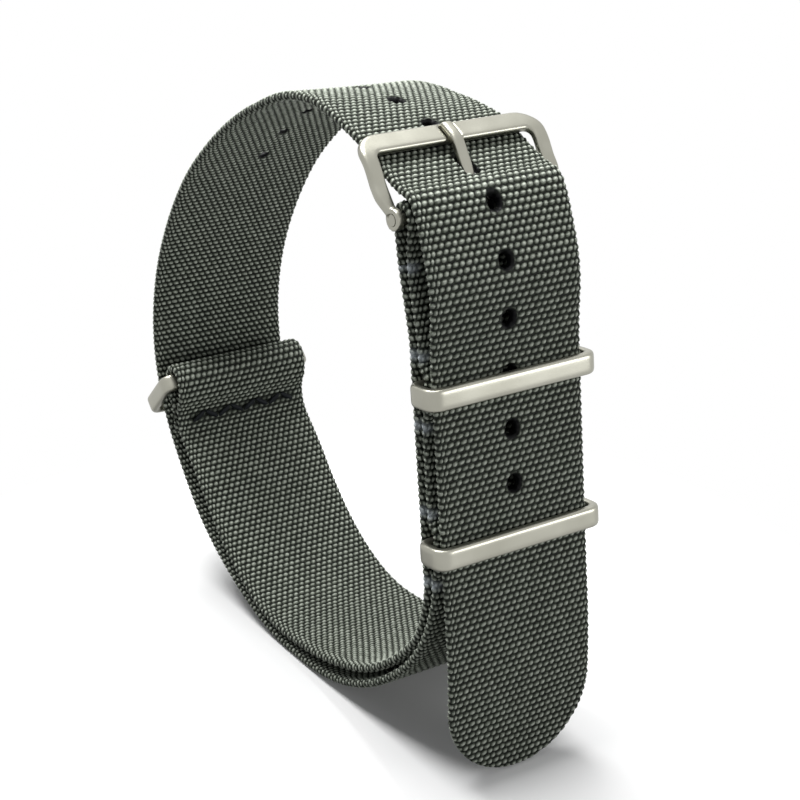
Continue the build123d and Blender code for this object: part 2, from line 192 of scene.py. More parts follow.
@dataclass
class StrapDrawing:
    """The side view that all the webbing follows, with the same sizes as the frame's solids."""

    thickness: float = 1.2
    loop_depth: float = 71.0
    loop_height: float = 75.0
    layer_gap: float = 0.1
    weld_gap: float = 0.4
    weld_flat: float = 0.85
    weld_bend: float = 1.2
    low_weld_bend: float = 8.0
    tail_hole_pitch: float = 6.38
    loop_hole_pitch: float = 7.1
    loop_first_hole: float = 3.0
    front_lean: float = 6.3
    pin_above: float = 15.0
    pin_inwards: float = 0.2
    first_weld: float = 9.7
    first_weld_inwards: float = 1.3
    pockets: tuple[float, float, float] = (8.0, 10.1, 8.5)
    pocket_slope: float = 1.3
    tail_above: float = 0.5
    shoulder_above: float = 7.5
    shoulder_out: float = 0.9
    pin_radius: float = 0.65
    pin_fit: float = 0.05
    bar_depth: float = 2.7
    bar_thickness: float = 1.1
    bar_back: float = 7.02
    bar_above: float = 7.7
    bar_slope: float = 25.0
    under_bar: float = 0.25
    band: float = 1.2
    band_fit: float = 0.1
    ring_bar_radius: float = 1.2246
    ring_bar_fit: float = 0.07
    ring_fold_angle: float = 84.0
    stitch_below_ring: float = 5.3
    stitch_to_end: float = 2.2
    stitch_flat: float = 1.5
    stitch_bend: float = 2.5
    hole_from_bar: float = 4.23
    slot_towards_pin: float = 0.7
    loop_shares: tuple = (
        (-0.474, 0.236), (-0.428, 0.166), (-0.364, 0.110), (-0.290, 0.062), (-0.205, 0.026),
        (-0.110, None), (0.035, None), (0.130, 0.032), (0.220, 0.070), (0.312, 0.124),
        (0.380, 0.196), (0.446, 0.282), (0.482, 0.375), (0.488, 0.450), (0.473, 0.535),
        (0.440, 0.615), (0.388, 0.698), (0.318, 0.782), (0.235, 0.850), (0.145, 0.910),
        (0.050, 0.957), (-0.045, 0.985), (-0.125, 0.991), (-0.200, 0.984))
    short_shares: tuple = (
        (-0.452, 0.226), (-0.404, 0.172), (-0.342, 0.122), (-0.276, 0.084), (-0.185, 0.054),
        (-0.090, 0.036), (0.035, 0.029), (0.125, 0.053), (0.205, 0.098), (0.278, 0.162),
        (0.325, 0.215), (0.378, 0.262))
    front_share: Point = (-0.431, 0.683)
    ring_share: Point = (0.411, 0.371)
    tip_share: float = -0.544
    straight_share: float = 0.2
    over_pin: tuple = ((174, 1.16), (122, 1.18), (76, 1.13))

    def __post_init__(self) -> None:
        """Works out the places that the three lines share."""
        self.half = self.thickness / 2
        self.down = heading(-90 - self.front_lean)
        self.out = heading(180 - self.front_lean)
        self.origin, self.ring = self.shares((self.front_share, self.ring_share))
        self.pin = self.front(-self.pin_above, -self.pin_inwards)
        self.fold_radius = self.pin_radius + self.pin_fit + self.half
        self.ring_fold = self.ring_bar_radius + self.ring_bar_fit + self.half
        self.contact = self.thickness + self.layer_gap
        self.welded = self.thickness + self.weld_gap
        self.pocket = self.thickness + self.band + 2 * self.band_fit
        upper, between, lower = self.pockets
        self.welds = (-self.first_weld, 0.0, upper, upper + between, upper + between + lower)
        self.bar_ahead = heading(180 + self.bar_slope)
        bar_out = left_of(heading(self.bar_slope))
        edge = (self.pin[0] + self.bar_back, self.pin[1] + self.bar_above)
        bar_top = moved(edge, self.bar_ahead, self.bar_depth / 2)
        below = self.bar_thickness + self.under_bar + self.half
        self.bar_under = moved(bar_top, bar_out, -below)
        self.row_ahead = heading(self.ring_fold_angle)
        row = moved(self.ring, self.row_ahead, -self.stitch_below_ring)
        self.row = moved(row, left_of(self.row_ahead), self.contact / 2)

    def front(self, along: float, out: float) -> Point:
        """A place measured down the front and out from the wrist."""
        return moved(moved(self.origin, self.down, along), self.out, out)

    def shares(self, pairs: tuple) -> list[Point]:
        """Points from shares of the loop's depth and height."""
        ground = self.half / self.loop_height
        return [(y * self.loop_depth, (ground if z is None else z) * self.loop_height)
                for y, z in pairs]

    def hairpin(self, centre: Point, ahead: Point, radius: float) -> list[Point]:
        """Four corner points of a turn round a bar."""
        left = left_of(ahead)
        corners = ((1, -1), (1, 1), (-1, 1), (-1, -1))
        return [moved(moved(centre, left, a * radius), ahead, b * radius) for a, b in corners]

    def tail(self) -> SidePath:
        """The long strap from its tip up the front to the middle of the buckle's bar."""
        stack = self.pocket + self.contact
        bend = self.fold_radius + self.contact
        tip = (self.tip_share * self.loop_depth, 0.0)
        points = [tip, (tip[0], self.straight_share * self.loop_height),
                  self.front(self.welds[4], stack), self.front(-self.tail_above, stack),
                  self.front(-self.shoulder_above, stack + self.shoulder_out)]
        points += [moved(self.pin, heading(angle), bend * share)
                   for angle, share in self.over_pin]
        return SidePath(points + [moved(self.bar_under, self.bar_ahead, self.bar_depth),
                                  self.bar_under])

    def loop(self) -> SidePath:
        """The long strap from the bar round the loop, over the pin and back to its weld."""
        points = [self.bar_under, moved(self.bar_under, self.bar_ahead, -self.bar_depth)]
        points += self.shares(self.loop_shares[::-1])
        radii = {len(points): self.low_weld_bend}
        points += [self.front(self.welds[4] + 2 * self.weld_flat, self.welded)]
        for top, bottom in ((self.welds[3], self.welds[4]), (self.welds[1], self.welds[2])):
            slope = self.weld_flat + self.pocket_slope
            radii.update({len(points) + k: self.weld_bend for k in range(4)})
            points += [self.front(bottom - self.weld_flat, self.welded),
                       self.front(bottom - slope, self.pocket),
                       self.front(top + slope, self.pocket),
                       self.front(top + self.weld_flat, self.welded)]
        radii[len(points)] = self.low_weld_bend
        points += [self.front(-2 * self.weld_flat, self.welded),
                   self.front(self.welds[0], self.welded - self.first_weld_inwards)]
        radii.update({len(points) + k: self.fold_radius for k in (1, 2)})
        points += self.hairpin(self.pin, heading(90), self.fold_radius)
        return SidePath(points + [self.front(self.welds[0], -self.first_weld_inwards)], radii)

    def short(self) -> SidePath:
        """The short strap from the first weld round the ring's bar to its cut end."""
        points = [self.front(self.welds[0], -self.first_weld_inwards),
                  self.front(-2 * self.weld_flat, 0),
                  self.front(self.welds[4] + 2 * self.weld_flat, 0)]
        radii = {1: self.low_weld_bend, 2: self.low_weld_bend}
        points += self.shares(self.short_shares)
        side = left_of(self.row_ahead)
        over = moved(self.row, self.row_ahead, self.stitch_flat)
        radii.update({len(points) + k: self.stitch_bend for k in (0, 1)})
        points += [moved(self.row, self.row_ahead, -self.stitch_flat), over]
        radii.update({len(points) + k: self.ring_fold for k in (1, 2)})
        points += self.hairpin(self.ring, self.row_ahead, self.ring_fold)
        radii[len(points)] = self.stitch_bend
        flap = moved(self.row, side, -self.contact)
        points += [moved(over, side, -self.contact),
                   moved(flap, self.row_ahead, -self.stitch_to_end)]
        return SidePath(points, radii)


# Webbing


@dataclass(frozen=True)
class Weave:
    """The yarn of the webbing's faces: rungs across it, each a slanted row of pearls.

    Rows are offset by half a pearl, and every other pearl in a row is larger.  Towards each
    edge the pearls grow narrower.

    Args:
        across: the pitch of the pearls in a row.
        along: the pitch of the rows.
        reach_across: a pearl's half width, as a share of its pitch.
        reach_along: its half height, as a share of the rows' pitch.
        slant: how far it climbs over its pitch, as a share of the rows' pitch.
        alternate: how much every other pearl is larger, and the rest smaller.
        depth: how high a pearl stands over the ground.
        base: how far the ground lies from the centre line.
        edge_round: how far in from its edge the webbing is rounded.
        edge_thickness: the share of the thickness that is left at the edge.
        even_half: how far from the middle the pearls keep their width.
        narrowing: how fast they grow narrower past that.
        knob: how far the edge is drawn in between two rungs.
        melt_loss: the share of its relief that a melted place loses.
        fused_loss: the share that a fused place loses.
    """

    across: float = 0.87
    along: float = 0.76
    reach_across: float = 0.58
    reach_along: float = 0.47
    slant: float = 0.2
    alternate: float = 0.13
    depth: float = 0.26
    base: float = 0.34
    edge_round: float = 0.6
    edge_thickness: float = 0.3
    even_half: float = 8.4
    narrowing: float = 0.3
    knob: float = 0.12
    melt_loss: float = 0.75
    fused_loss: float = 0.3

    def pearls(self, x: Array, s: Array) -> Array:
        """How high the yarn stands at each place, from 0 in a gap to 1."""
        v = s / self.along
        row = np.floor(v)
        past = np.clip(np.abs(x) - self.even_half, 0, None)
        u = (x + np.sign(x) * self.narrowing * past ** 2) / self.across - 0.5 * np.mod(row, 2)
        column = np.round(u)
        size = self.reach_across * (1 + self.alternate * np.cos(np.pi * column))
        dv = v - row - 0.5 - self.slant * (u - column)
        return np.clip(1 - ((u - column) / size) ** 2 - (dv / self.reach_along) ** 2, 0, 1)

    def rung(self, s: Array) -> Array:
        """How high each rung stands, from 0 in the groove beside it to 1."""
        return 0.5 - 0.5 * np.cos(2 * np.pi * s / self.along)


FEWEST_CELLS = 2
SLACK = 0.01
UV_PER_MM = 0.01
UV_MIDDLE = 0.5


def bell(s: Array, station: float, reach: float) -> Array:
    """A smooth hump of height 1 at a station."""
    return np.exp(-((s - station) / reach) ** 2)


@dataclass(frozen=True)
class Opening:
    """A hole or slot through the webbing.

    Args:
        station: where its middle lies along the strap.
        half_width: half its width across the strap.
        half_length: half its length along it.
        melt_and_shade: how wide its fused rim is; rim and hole walls are painted near black,
            partly as melt and partly as painted shade.
        lip: how far the outer face closes over its start, and the inner face over its end.
        inner_share: its width on the inner face, as a share of the outer one.
    """

    station: float
    half_width: float
    half_length: float
    melt_and_shade: float = 0.22
    lip: float = 0.0
    inner_share: float = 1.0


@dataclass
class WebbingStrip:
    """One length of webbing, woven as a closed slab along a side-view path.

    Args:
        name: the piece's name.
        path: the centre line.
        start: where the piece begins on it.
        end: where it ends.
        shift: how far the drawing moves along Y to meet the frame.
        weave: the yarn of its faces.
        openings: holes and slots in it.
        welds: stations of the fused places at its edges.
        rounded: whether its start is the strap's rounded tip.
        roll: stations, and how far the near edge stands out there.
        pressed: stations of the rows that a seam presses in.
        width: the webbing's width.
        columns: how many cells lie across it.
        cell: how long a cell is.
        pressed_half: half a pressed row's width; its reach, its flattening and painted shade,
            and its depth follow.
        weld_reach: how far a weld spreads along the strap.
        weld_width: how far in from the edge it shows.
        fade: how far past a rim the cells are drawn, in half widths.
    """

    name: str
    path: SidePath
    start: float
    end: float
    shift: float
    weave: Weave = field(default_factory=Weave)
    openings: tuple[Opening, ...] = ()
    welds: tuple[float, ...] = ()
    rounded: bool = False
    roll: tuple[Point, ...] = ((0.0, 0.0),)
    pressed: tuple[float, ...] = ()
    width: float = 20.0
    columns: int = 116
    cell: float = 0.19
    pressed_half: float = 8.3
    pressed_reach: float = 0.7
    pressed_flattening_and_shade: float = 0.4
    pressed_depth: float = 0.18
    weld_reach: float = 0.5
    weld_width: float = 1.5
    fade: float = 1.2

    def build(self) -> bpy.types.Object:
        """Makes the woven piece, with its UV map and its attributes."""
        self.rows = round((self.end - self.start) / self.cell)
        bm = bmesh.new()
        bmesh.ops.create_grid(bm, x_segments=self.columns, y_segments=self.rows, size=1)
        bmesh.ops.translate(bm, verts=bm.verts[:], vec=(0, 0, -1))
        raised = bmesh.ops.extrude_face_region(bm, geom=bm.faces[:])["geom"]
        lifted = [item for item in raised if isinstance(item, bmesh.types.BMVert)]
        bmesh.ops.translate(bm, verts=lifted, vec=(0, 0, 2))
        blocks = [self._block(opening) for opening in self.openings]
        for block in blocks:
            self._cut(bm, block)
        bmesh.ops.recalc_face_normals(bm, faces=bm.faces[:])
        mesh = to_mesh(bm, self.name)
        self._shape(mesh, blocks)
        mesh.shade_smooth()
        return in_scene(self.name, mesh)

    def _block(self, opening: Opening) -> tuple[Opening, int, int, int]:
        """The grid cells that an opening takes: its row, half columns and half rows."""
        row = round((opening.station - self.start) / self.cell)
        across = round(opening.half_width * self.columns / self.width)
        along = round(opening.half_length / self.cell)
        return opening, row, max(FEWEST_CELLS, across), max(FEWEST_CELLS, along)

    def _cut(self, bm: bmesh.types.BMesh, block: tuple) -> None:
        """Takes a block of cells out of both faces and walls the hole."""
        _, row, across, along = block
        x_limit = (across + SLACK) * 2 / self.columns
        middle = row * 2 / self.rows - 1
        y_limit = (along + SLACK) * 2 / self.rows

        def inside(place: Vector) -> bool:
            """Whether a place lies in the block."""
            return abs(place.x) < x_limit and abs(place.y - middle) < y_limit

        faces = [f for f in bm.faces
                 if abs(f.normal.z) > 0.5 and all(inside(v.co) for v in f.verts)]
        bmesh.ops.delete(bm, geom=faces, context="FACES")
        rims = [e for e in bm.edges if e.is_boundary and all(inside(v.co) for v in e.verts)]
        bmesh.ops.bridge_loops(bm, edges=rims)

    def _shape(self, mesh: bpy.types.Mesh, blocks: list) -> None:
        """Lays the flat slab along the path and raises its bumps."""
        count = len(mesh.vertices)
        flat = np.empty(count * 3)
        mesh.vertices.foreach_get("co", flat)
        u, v, w = flat.reshape(-1, 3).T
        half = self.width / 2
        x = u * half
        s = self.start + (v + 1) / 2 * (self.end - self.start)
        melt_and_shade = np.zeros(count)
        for block in blocks:
            x, s, rim_melt_and_shade = self._warp(x, s, w, block)
            s = s + self._lip(x, s, w, block[0])
            melt_and_shade = np.maximum(melt_and_shade, rim_melt_and_shade)
        e = half - np.abs(x)
        if self.rounded:
            x, s, e = self._round_tip(x, s, half)
        weave = self.weave
        for station in self.pressed:
            row = bell(s, station, self.pressed_reach) * (np.abs(x) < self.pressed_half)
            # A pressed row is flattened and painted dark as shade in the seam's groove.
            melt_and_shade = np.maximum(melt_and_shade, self.pressed_flattening_and_shade * row)
        crest = weave.pearls(x, s) * (1 - weave.melt_loss * melt_and_shade)
        fused = np.zeros(count)
        for station in self.welds:
            near = bell(s, station, self.weld_reach)
            fused = np.maximum(fused, near * np.clip(self.weld_width - e, 0, 1))
        crest = crest * (1 - weave.fused_loss * fused)
        rounded = np.sqrt(1 - (1 - np.clip(e / weave.edge_round, 0, 1)) ** 2)
        crown = weave.edge_thickness + (1 - weave.edge_thickness) * rounded
        lift = w * crown * (weave.base + weave.depth * crest)
        for station in self.pressed:
            lift -= w * self.pressed_depth * bell(s, station, self.pressed_reach)
        tuck = weave.knob * (1 - weave.rung(s)) * np.clip(1 - e / weave.edge_round, 0, 1)
        x = x - np.sign(x) * tuck * (1 - melt_and_shade)
        place, normal = self.path.at(s)
        rolled = np.interp(s, *np.array(self.roll).T) * -x / half
        y = place[:, 0] + normal[:, 0] * (lift + rolled) + self.shift
        z = place[:, 1] + normal[:, 1] * (lift + rolled)
        mesh.vertices.foreach_set("co", (np.stack([x, y, z], 1) * MM).ravel())
        self._store(mesh, x, s, melt_and_shade, fused)
        mesh.update()

    def _warp(self, x: Array, s: Array, w: Array, block: tuple) -> tuple:
        """Draws the cells round a block on to the opening's round outline."""
        opening, row, across, along = block
        half_width = opening.half_width * np.where(w < 0, opening.inner_share, 1)
        centre = self.start + row * self.cell
        drift = opening.station - centre
        straight = max(opening.half_length - opening.half_width, 0.0)
        reach = across * self.width / self.columns
        block_straight = max(along * self.cell - reach, 0.0)
        dx = x / reach
        ds = s - centre
        past = np.clip(np.abs(ds) - block_straight, 0, None)
        q = past / (along * self.cell - block_straight)
        ring = np.maximum(np.abs(dx), q)
        size = np.maximum(np.hypot(dx, q), 1e-9)
        fade = np.clip((ring - 1) / self.fade, 0, 1)
        fade = fade * fade * (3 - 2 * fade)
        round_dx = dx * ring / size * half_width
        round_q = q * ring / size * half_width
        stretch = np.clip(np.abs(ds), 0, block_straight)
        scaled = stretch * (straight / block_straight if block_straight > 0 else 1.0)
        new_s = centre + drift + np.sign(ds) * (scaled + round_q)
        near = ring < 1 + self.fade
        mixed_x = round_dx * (1 - fade) + x * fade
        mixed_s = new_s * (1 - fade) + s * fade
        # The rim and the walls inside it are painted near black: partly melt, partly painted
        # shade in the hole.
        rim_melt_and_shade = np.clip(1 - (ring - 1) * opening.half_width / opening.melt_and_shade, 0, 1) * near
        return np.where(near, mixed_x, x), np.where(near, mixed_s, s), rim_melt_and_shade

    def _lip(self, x: Array, s: Array, w: Array, opening: Opening) -> Array:
        """How far each place is drawn over an opening, so that its walls slant."""
        before = (opening.station - s) * w
        inside = np.clip(before / opening.half_length, 0, 1)
        outside = np.clip(before / opening.half_length - 1, 0, 1)
        beside = np.clip((np.abs(x) - opening.half_width) / (3 * opening.half_width), 0, 1)
        return opening.lip * w * inside * (1 - outside) * (1 - beside)

    def _round_tip(self, x: Array, s: Array, half: float) -> tuple:
        """Rounds the start of the strap to a half circle."""
        a = x / half
        b = np.clip(1 - s / half, 0, 1)
        tip = s < half
        round_x = a * np.sqrt(1 - b * b / 2) * half
        round_s = half - b * np.sqrt(1 - a * a / 2) * half
        edge = half - np.hypot(round_x, half - round_s)
        return (np.where(tip, round_x, x), np.where(tip, round_s, s),
                np.where(tip, np.clip(edge, 0, None), half - np.abs(x)))

    def _store(self, mesh: bpy.types.Mesh, x: Array, s: Array, melt_and_shade: Array,
               fused: Array) -> None:
        """Keeps the place on the cloth as a UV map, and the masks as attributes."""
        loops = np.empty(len(mesh.loops), dtype=np.int32)
        mesh.loops.foreach_get("vertex_index", loops)
        uv = np.stack([x[loops] * UV_PER_MM + UV_MIDDLE, s[loops] * UV_PER_MM], 1)
        mesh.uv_layers.new(name="Cloth").data.foreach_set("uv", uv.ravel())
        for name, values in (("melt_and_shade", melt_and_shade), ("fused", fused)):
            mesh.attributes.new(name, "FLOAT", "POINT").data.foreach_set("value", values)


# Materials


class NodeTree:
    """A material's or group's node tree with short ways to add and join nodes."""

    def __init__(self, tree: bpy.types.NodeTree) -> None:
        """Keeps the tree."""
        self.tree = tree

    def add(self, kind: str, **values: object) -> bpy.types.Node:
        """Adds a node; each value sets a property or an input of that name."""
        node = self.tree.nodes.new(kind)
        self.put(node, **values)
        return node

    def put(self, node: bpy.types.Node, **values: object) -> None:
        """Sets a node's properties or inputs by name."""
        for name, value in values.items():
            if hasattr(node, name):
                setattr(node, name, value)
            else:
                node.inputs[name.replace("_", " ")].default_value = value

    def join(self, source: bpy.types.NodeSocket, target: bpy.types.NodeSocket) -> None:
        """Joins an output to an input."""
        self.tree.links.new(source, target)

    def math(self, operation: str, a: object, b: object = 0.0, clamp: bool = False) -> object:
        """A Math node's output; each operand is a socket or a number, and one may be unused."""
        node = self.tree.nodes.new("ShaderNodeMath")
        node.operation, node.use_clamp = operation, clamp
        for socket, value in zip(node.inputs, (a, b)):
            if isinstance(value, (int, float)):
                socket.default_value = value
            else:
                self.join(value, socket)
        return node.outputs[0]

    def relief(self, height: object, shader: object, strength: float, depth: float) -> None:
        """Joins a height to a shader's normal by a Bump node."""
        bump = self.add("ShaderNodeBump", Strength=strength, Distance=depth)
        self.join(height, bump.inputs["Height"])
        self.join(bump.outputs[0], shader.inputs["Normal"])

    def seen(self) -> bpy.types.NodeSocket:
        """1 for rays from the camera, a reflection or a see-through surface, else 0."""
        path = self.add("ShaderNodeLightPath").outputs
        seen = self.math("MAXIMUM", path["Is Camera Ray"], path["Is Glossy Ray"])
        return self.math("MAXIMUM", seen, path["Is Transmission Ray"])

    def blend(self, mask: object, a: bpy.types.Node, b: bpy.types.Node, output: str) -> None:
        """Mixes two shaders into the surface of an output node."""
        mixed = self.add("ShaderNodeMixShader")
        for source, socket in zip((mask, a.outputs[0], b.outputs[0]), mixed.inputs):
            self.join(source, socket)
        self.join(mixed.outputs[0], self.tree.nodes[output].inputs["Surface"])

    def ramp(self, source: object, stops: list[tuple[float, tuple]]) -> object:
        """A Color Ramp's output over the given stops."""
        node = self.tree.nodes.new("ShaderNodeValToRGB")
        while len(node.color_ramp.elements) < len(stops):
            node.color_ramp.elements.new(0.5)
        for element, (place, colour) in zip(node.color_ramp.elements, stops):
            element.position, element.color = place, (*colour, 1)
        self.join(source, node.inputs[0])
        return node.outputs[0]

    def mix(self, mask: object, a: object, b: object) -> object:
        """A colour mix's output; each colour is a socket or three numbers."""
        node = self.tree.nodes.new("ShaderNodeMix")
        node.data_type = "RGBA"
        for index, value in ((0, mask), (6, a), (7, b)):
            if isinstance(value, tuple):
                node.inputs[index].default_value = (*value, 1)
            elif isinstance(value, (int, float)):
                node.inputs[index].default_value = value
            else:
                self.join(value, node.inputs[index])
        return node.outputs[2]


def new_material(name: str) -> tuple[bpy.types.Material, NodeTree, bpy.types.Node]:
    """A new material, its node tree and its Principled shader."""
    material = bpy.data.materials.new(name)
    material.use_nodes = True
    nodes = NodeTree(material.node_tree)
    return material, nodes, nodes.tree.nodes["Principled BSDF"]


def pearl_group(weave: Weave) -> bpy.types.NodeTree:
    """The weave's pearls drawn on the cloth's UV map, as masks for relief and for painted shade
    and highlight.

    Args:
        weave: the same weave that shapes the mesh.

    Returns:
        A group that gives each place's height on its pearl, whether that is a large pearl,
        a number for each pearl, and the fine filaments.
    """
    tree = bpy.data.node_groups.new("WovenPearls", "ShaderNodeTree")
    for name in ("Pearl", "Large", "Chance", "Filament"):
        tree.interface.new_socket(name, in_out="OUTPUT", socket_type="NodeSocketFloat")
    nodes = NodeTree(tree)
    result = nodes.add("NodeGroupOutput")
    uv = nodes.add("ShaderNodeUVMap", uv_map="Cloth")
    split = nodes.add("ShaderNodeSeparateXYZ")
    nodes.join(uv.outputs[0], split.inputs[0])
    calc = nodes.math
    x, s = [calc("MULTIPLY", split.outputs[k], 1 / UV_PER_MM) for k in (0, 1)]
    x = calc("SUBTRACT", x, UV_MIDDLE / UV_PER_MM)
    past = calc("SUBTRACT", calc("ABSOLUTE", x), weave.even_half)
    past = calc("MAXIMUM", past, 0.0)
    past = calc("MULTIPLY", calc("MULTIPLY", past, past), weave.narrowing)
    x = calc("ADD", x, calc("MULTIPLY", calc("SIGN", x), past))
    rows = calc("DIVIDE", s, weave.along)
    row = calc("FLOOR", rows)
    odd = calc("MULTIPLY", calc("FLOORED_MODULO", row, 2.0), 0.5)
    u = calc("SUBTRACT", calc("DIVIDE", x, weave.across), odd)
    column = calc("ROUND", u)
    large = calc("COSINE", calc("MULTIPLY", column, math.pi))
    size = calc("ADD", calc("MULTIPLY", large, weave.alternate), 1.0)
    size = calc("MULTIPLY", size, weave.reach_across)
    du = calc("SUBTRACT", u, column)
    dv = calc("SUBTRACT", calc("SUBTRACT", rows, row), 0.5)
    dv = calc("SUBTRACT", dv, calc("MULTIPLY", du, weave.slant))
    du = calc("DIVIDE", du, size)
    dv = calc("DIVIDE", dv, weave.reach_along)
    fall = calc("ADD", calc("MULTIPLY", du, du), calc("MULTIPLY", dv, dv))
    pearl = calc("SUBTRACT", 1.0, fall, clamp=True)
    cell = nodes.add("ShaderNodeCombineXYZ")
    nodes.join(column, cell.inputs[0])
    nodes.join(row, cell.inputs[1])
    chance = nodes.add("ShaderNodeTexWhiteNoise", noise_dimensions="2D")
    nodes.join(cell.outputs[0], chance.inputs["Vector"])
    stretch = nodes.add("ShaderNodeMapping", Scale=(0.35, 1.0, 1.0),
                        Rotation=(0, 0, math.radians(-20)))
    nodes.join(uv.outputs[0], stretch.inputs["Vector"])
    filament = nodes.add("ShaderNodeTexNoise", Scale=480.0, Detail=4.0, Roughness=0.7)
    nodes.join(stretch.outputs[0], filament.inputs["Vector"])
    given = (pearl, large, chance.outputs[0], filament.outputs[0])
    for source, socket in zip(given, result.inputs):
        nodes.join(source, socket)
    return tree


@dataclass(frozen=True)
class WebbingFinish:
    """Woven nylon: a grey-green body with a painted highlight on its crests and painted shade
    in its near-black gaps.
    """

    name: str
    pearls: bpy.types.NodeTree
    # Painted shade in the gaps, the nylon's own grey-green body, and a painted highlight on the
    # crests.
    gap_shade: tuple = (0.013, 0.015, 0.012)
    body: tuple = (0.115, 0.132, 0.102)
    crest: tuple = (0.56, 0.60, 0.52)
    # Near black on melted rims, hole walls and pressed seam rows: partly melt, partly painted
    # shade.
    scorched_and_shade: tuple = (0.004, 0.004, 0.005)
    frayed: tuple = (0.62, 0.68, 0.72)
    roughness: float = 0.45
    specular: float = 0.10
    # Small pearls are painted paler as a highlight and large ones darker as shade.
    small_highlight_large_shade: float = 0.05
    luck: float = 0.12
    fibre_contrast: float = 0.9
    fibre_relief: float = 0.25
    frayed_share: float = 0.85
    scorched_and_shade_share: float = 0.9
    strength: float = 0.9
    relief: float = 0.0002

    def make(self) -> bpy.types.Material:
        """The material."""
        material, nodes, shader = new_material(self.name)
        group = nodes.add("ShaderNodeGroup", node_tree=self.pearls).outputs
        melt_and_shade, fused = [nodes.add("ShaderNodeAttribute", attribute_name=name).outputs["Fac"]
                       for name in ("melt_and_shade", "fused")]
        whole = nodes.math("SUBTRACT", 1.0, melt_and_shade, clamp=True)
        pearl = nodes.math("MULTIPLY", group["Pearl"], whole)
        grain, luck = [
            nodes.math("MULTIPLY", nodes.math("SUBTRACT", group[name], 0.5), share)
            for name, share in (("Filament", self.fibre_contrast), ("Chance", self.luck))]
        # Painted highlight on the small pearls and painted shade on the large ones.
        alternate_highlight_shade = nodes.math("MULTIPLY", group["Large"], -self.small_highlight_large_shade)
        luck = nodes.math("ADD", luck, alternate_highlight_shade)
        high = nodes.math("ADD", nodes.math("ADD", pearl, grain), luck, clamp=True)
        # By the pearl's height, the gaps get painted shade and the crests a painted highlight.
        colour = nodes.ramp(high, [(0.05, self.gap_shade), (0.5, self.body), (1.0, self.crest)])
        fused = nodes.math("MULTIPLY", fused, self.frayed_share)
        colour = nodes.mix(fused, colour, self.frayed)
        # Melted rims, hole walls and pressed seam rows painted near black, partly as melt and
        # partly as painted shade.
        melt_and_shade = nodes.math("MULTIPLY", melt_and_shade, self.scorched_and_shade_share)
        colour = nodes.mix(melt_and_shade, colour, self.scorched_and_shade)
        nodes.join(colour, shader.inputs["Base Color"])
        nodes.put(shader, Roughness=self.roughness, Specular_IOR_Level=self.specular)
        fibres = nodes.math("MULTIPLY", group["Filament"], self.fibre_relief)
        nodes.relief(nodes.math("ADD", pearl, fibres), shader, self.strength, self.relief)
        return material


@dataclass(frozen=True)
class SatinSteel:
    """Bead-blasted steel, warm grey, with faint grain and a cloudy paler tone."""

    name: str
    colour: tuple = (0.305, 0.30, 0.25)
    rubbed: tuple = (0.415, 0.41, 0.355)
    roughness: float = 0.33
    uneven: float = 0.10
    grain: float = 9000.0
    cloud: float = 220.0
    strength: float = 0.12
    relief: float = 0.00002

    def make(self) -> bpy.types.Material:
        """The material."""
        material, nodes, shader = new_material(self.name)
        place = nodes.add("ShaderNodeTexCoord").outputs["Object"]
        speck = nodes.add("ShaderNodeTexNoise", Scale=self.grain, Detail=3.0)
        cloud = nodes.add("ShaderNodeTexNoise", Scale=self.cloud, Detail=2.0)
        nodes.join(place, speck.inputs["Vector"])
        nodes.join(place, cloud.inputs["Vector"])
        colour = nodes.mix(cloud.outputs[0], self.colour, self.rubbed)
        nodes.join(colour, shader.inputs["Base Color"])
        nodes.put(shader, Metallic=1.0)
        rough = nodes.math("MULTIPLY_ADD", cloud.outputs[0], self.uneven)
        rough.node.inputs[2].default_value = self.roughness - self.uneven / 2
        nodes.join(rough, shader.inputs["Roughness"])
        nodes.relief(speck.outputs[0], shader, self.strength, self.relief)
        return material


@dataclass(frozen=True)
class SewingThread:
    """Dark bonded thread with a two-ply twist."""

    name: str
    colour: tuple = (0.003, 0.004, 0.005)
    lit: tuple = (0.010, 0.013, 0.016)
    roughness: float = 0.6
    specular: float = 0.15
    twist: float = 1600.0
    strength: float = 0.4
    relief: float = 0.00005

    def make(self) -> bpy.types.Material:
        """The material."""
        material, nodes, shader = new_material(self.name)
        place = nodes.add("ShaderNodeTexCoord")
        twist = nodes.add("ShaderNodeTexWave", Scale=self.twist, Distortion=1.0)
        nodes.join(place.outputs["Object"], twist.inputs["Vector"])
        nodes.join(nodes.mix(twist.outputs["Fac"], self.colour, self.lit),
                   shader.inputs["Base Color"])
        nodes.put(shader, Roughness=self.roughness, Specular_IOR_Level=self.specular)
        nodes.relief(twist.outputs["Fac"], shader, self.strength, self.relief)
        return material


# Sub-assemblies


